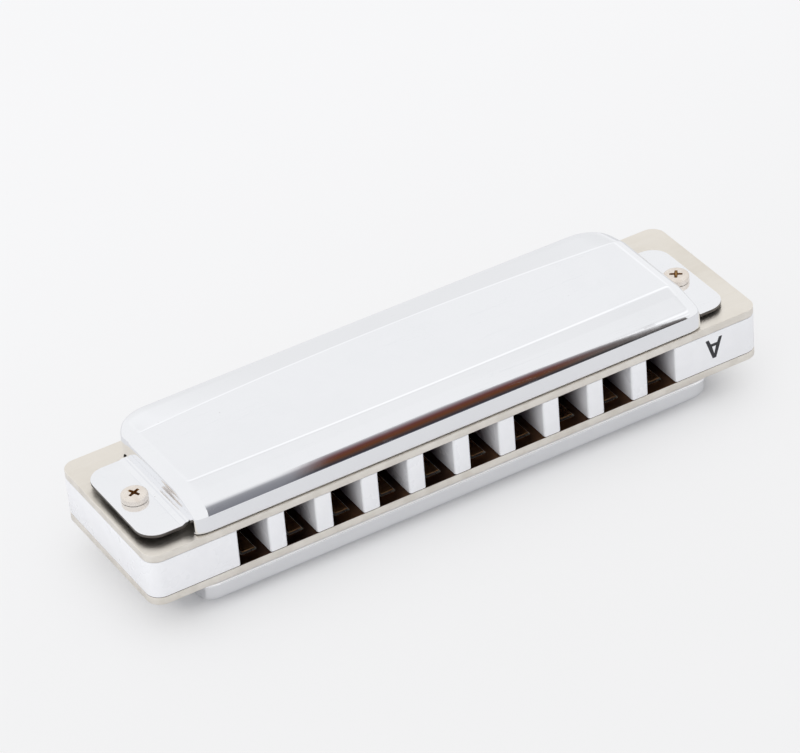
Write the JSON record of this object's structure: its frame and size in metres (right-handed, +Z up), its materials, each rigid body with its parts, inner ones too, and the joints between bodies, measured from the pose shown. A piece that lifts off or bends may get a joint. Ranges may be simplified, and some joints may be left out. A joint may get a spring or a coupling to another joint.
{
  "type": "diatonic harmonica",
  "caption": "Small free-reed mouth organ: a holed plastic comb between two reed plates, under chromed covers with screwed end tabs.",
  "frame": {"origin": "under the middle of the comb and reed plates, on the surface that the lower cover rests on", "axes": "+X along the instrument towards hole 1, +Y away from the mouth side, +Z up; the draw reeds are on the upper plate"},
  "size_m": [0.1008, 0.0268, 0.0191],
  "materials": {
    "white_plastic": "white moulded plastic, semi-gloss",
    "reed_plate": "nickel-toned plate, fine brushed",
    "cover_chrome": "polished chrome on pressed sheet",
    "reed_brass": "plain rolled reed brass with filing marks",
    "rivet_copper": "plain copper-toned rivet",
    "screw_nickel": "nickel-plated, slightly warm"
  },
  "bodies": {
    "root": {"comb": "white_plastic", "upper_reed_plate": "reed_plate", "lower_reed_plate": "reed_plate", "upper_cover": "cover_chrome", "lower_cover": "cover_chrome", "cover_screw_left": "screw_nickel", "cover_screw_right": "screw_nickel", "cover_nut_left": "screw_nickel", "cover_nut_right": "screw_nickel", "upper_plate_screw_1": "screw_nickel", "upper_plate_screw_2": "screw_nickel", "upper_plate_screw_3": "screw_nickel", "lower_plate_screw_1": "screw_nickel", "lower_plate_screw_2": "screw_nickel", "lower_plate_screw_3": "screw_nickel", "draw_rivet_01": "rivet_copper", "draw_rivet_02": "rivet_copper", "draw_rivet_03": "rivet_copper", "draw_rivet_04": "rivet_copper", "draw_rivet_05": "rivet_copper", "draw_rivet_06": "rivet_copper", "draw_rivet_07": "rivet_copper", "draw_rivet_08": "rivet_copper", "draw_rivet_09": "rivet_copper", "draw_rivet_10": "rivet_copper", "blow_rivet_01": "rivet_copper", "blow_rivet_02": "rivet_copper", "blow_rivet_03": "rivet_copper", "blow_rivet_04": "rivet_copper", "blow_rivet_05": "rivet_copper", "blow_rivet_06": "rivet_copper", "blow_rivet_07": "rivet_copper", "blow_rivet_08": "rivet_copper", "blow_rivet_09": "rivet_copper", "blow_rivet_10": "rivet_copper"},
    "draw_reed_01": {"draw_reed_01": "reed_brass"},
    "draw_reed_02": {"draw_reed_02": "reed_brass"},
    "draw_reed_03": {"draw_reed_03": "reed_brass"},
    "draw_reed_04": {"draw_reed_04": "reed_brass"},
    "draw_reed_05": {"draw_reed_05": "reed_brass"},
    "draw_reed_06": {"draw_reed_06": "reed_brass"},
    "draw_reed_07": {"draw_reed_07": "reed_brass"},
    "draw_reed_08": {"draw_reed_08": "reed_brass"},
    "draw_reed_09": {"draw_reed_09": "reed_brass"},
    "draw_reed_10": {"draw_reed_10": "reed_brass"},
    "blow_reed_01": {"blow_reed_01": "reed_brass"},
    "blow_reed_02": {"blow_reed_02": "reed_brass"},
    "blow_reed_03": {"blow_reed_03": "reed_brass"},
    "blow_reed_04": {"blow_reed_04": "reed_brass"},
    "blow_reed_05": {"blow_reed_05": "reed_brass"},
    "blow_reed_06": {"blow_reed_06": "reed_brass"},
    "blow_reed_07": {"blow_reed_07": "reed_brass"},
    "blow_reed_08": {"blow_reed_08": "reed_brass"},
    "blow_reed_09": {"blow_reed_09": "reed_brass"},
    "blow_reed_10": {"blow_reed_10": "reed_brass"}
  },
  "joints": [
    {"name": "draw_reed_01_swing", "type": "hinge", "parent": "root", "child": "draw_reed_01", "pos_m": [0.03325, -0.0082, 0.01408], "axis": [1, 0, 0], "range_deg": [-3, 3], "stiffness_Nm_per_rad": 0.002},
    {"name": "draw_reed_02_swing", "type": "hinge", "parent": "root", "child": "draw_reed_02", "pos_m": [0.02575, -0.0082, 0.01408], "axis": [1, 0, 0], "range_deg": [-3, 3], "stiffness_Nm_per_rad": 0.002},
    {"name": "draw_reed_03_swing", "type": "hinge", "parent": "root", "child": "draw_reed_03", "pos_m": [0.01825, -0.0082, 0.01408], "axis": [1, 0, 0], "range_deg": [-3, 3], "stiffness_Nm_per_rad": 0.002},
    {"name": "draw_reed_04_swing", "type": "hinge", "parent": "root", "child": "draw_reed_04", "pos_m": [0.01075, -0.0082, 0.01408], "axis": [1, 0, 0], "range_deg": [-3, 3], "stiffness_Nm_per_rad": 0.002},
    {"name": "draw_reed_05_swing", "type": "hinge", "parent": "root", "child": "draw_reed_05", "pos_m": [0.00325, -0.0082, 0.01408], "axis": [1, 0, 0], "range_deg": [-3, 3], "stiffness_Nm_per_rad": 0.002},
    {"name": "draw_reed_06_swing", "type": "hinge", "parent": "root", "child": "draw_reed_06", "pos_m": [-0.00425, -0.0082, 0.01408], "axis": [1, 0, 0], "range_deg": [-3, 3], "stiffness_Nm_per_rad": 0.002},
    {"name": "draw_reed_07_swing", "type": "hinge", "parent": "root", "child": "draw_reed_07", "pos_m": [-0.01175, -0.0082, 0.01408], "axis": [1, 0, 0], "range_deg": [-3, 3], "stiffness_Nm_per_rad": 0.002},
    {"name": "draw_reed_08_swing", "type": "hinge", "parent": "root", "child": "draw_reed_08", "pos_m": [-0.01925, -0.0082, 0.01408], "axis": [1, 0, 0], "range_deg": [-3, 3], "stiffness_Nm_per_rad": 0.002},
    {"name": "draw_reed_09_swing", "type": "hinge", "parent": "root", "child": "draw_reed_09", "pos_m": [-0.02675, -0.0082, 0.01408], "axis": [1, 0, 0], "range_deg": [-3, 3], "stiffness_Nm_per_rad": 0.002},
    {"name": "draw_reed_10_swing", "type": "hinge", "parent": "root", "child": "draw_reed_10", "pos_m": [-0.03425, -0.0082, 0.01408], "axis": [1, 0, 0], "range_deg": [-3, 3], "stiffness_Nm_per_rad": 0.002},
    {"name": "blow_reed_01_swing", "type": "hinge", "parent": "root", "child": "blow_reed_01", "pos_m": [0.03325, 0.0043, 0.00677], "axis": [1, 0, 0], "range_deg": [-3, 3], "stiffness_Nm_per_rad": 0.002},
    {"name": "blow_reed_02_swing", "type": "hinge", "parent": "root", "child": "blow_reed_02", "pos_m": [0.02575, 0.00363, 0.00677], "axis": [1, 0, 0], "range_deg": [-3, 3], "stiffness_Nm_per_rad": 0.002},
    {"name": "blow_reed_03_swing", "type": "hinge", "parent": "root", "child": "blow_reed_03", "pos_m": [0.01825, 0.00297, 0.00677], "axis": [1, 0, 0], "range_deg": [-3, 3], "stiffness_Nm_per_rad": 0.002},
    {"name": "blow_reed_04_swing", "type": "hinge", "parent": "root", "child": "blow_reed_04", "pos_m": [0.01075, 0.0023, 0.00677], "axis": [1, 0, 0], "range_deg": [-3, 3], "stiffness_Nm_per_rad": 0.002},
    {"name": "blow_reed_05_swing", "type": "hinge", "parent": "root", "child": "blow_reed_05", "pos_m": [0.00325, 0.00163, 0.00677], "axis": [1, 0, 0], "range_deg": [-3, 3], "stiffness_Nm_per_rad": 0.002},
    {"name": "blow_reed_06_swing", "type": "hinge", "parent": "root", "child": "blow_reed_06", "pos_m": [-0.00425, 0.00097, 0.00677], "axis": [1, 0, 0], "range_deg": [-3, 3], "stiffness_Nm_per_rad": 0.002},
    {"name": "blow_reed_07_swing", "type": "hinge", "parent": "root", "child": "blow_reed_07", "pos_m": [-0.01175, 0.0003, 0.00677], "axis": [1, 0, 0], "range_deg": [-3, 3], "stiffness_Nm_per_rad": 0.002},
    {"name": "blow_reed_08_swing", "type": "hinge", "parent": "root", "child": "blow_reed_08", "pos_m": [-0.01925, -0.00037, 0.00677], "axis": [1, 0, 0], "range_deg": [-3, 3], "stiffness_Nm_per_rad": 0.002},
    {"name": "blow_reed_09_swing", "type": "hinge", "parent": "root", "child": "blow_reed_09", "pos_m": [-0.02675, -0.00103, 0.00677], "axis": [1, 0, 0], "range_deg": [-3, 3], "stiffness_Nm_per_rad": 0.002},
    {"name": "blow_reed_10_swing", "type": "hinge", "parent": "root", "child": "blow_reed_10", "pos_m": [-0.03425, -0.0017, 0.00677], "axis": [1, 0, 0], "range_deg": [-3, 3], "stiffness_Nm_per_rad": 0.002}
  ]
}
